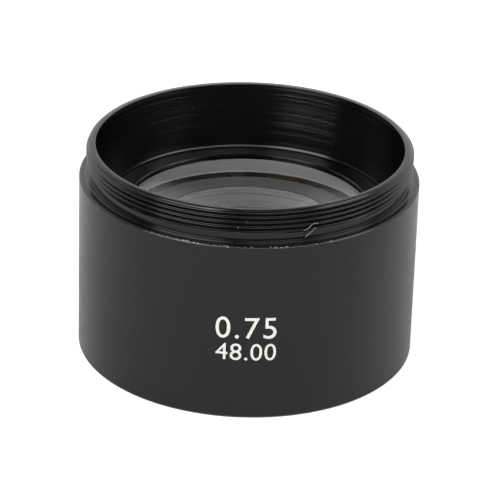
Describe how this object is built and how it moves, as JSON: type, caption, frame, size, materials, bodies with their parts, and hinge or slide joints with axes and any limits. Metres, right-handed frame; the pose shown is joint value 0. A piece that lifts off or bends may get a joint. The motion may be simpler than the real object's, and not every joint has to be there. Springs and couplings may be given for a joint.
{
  "type": "microscope objective",
  "caption": "Turned black auxiliary objective for a stereo microscope: male mounting thread above a plain round body, with a cemented lens held by a threaded ring in an open bore.",
  "frame": {"origin": "on the optical axis, in the plane of the front rim that it stands on", "axes": "+Z along the optical axis, towards the microscope"},
  "size_m": [0.05, 0.05, 0.0321],
  "materials": {
    "anodised_aluminium": "black anodised, fine turned, satin",
    "optical_glass": "polished and coated faces, ground edge"
  },
  "bodies": {
    "root": {"barrel": "anodised_aluminium", "retaining_ring": "anodised_aluminium", "flint_element": "optical_glass", "crown_element": "optical_glass"}
  },
  "joints": []
}
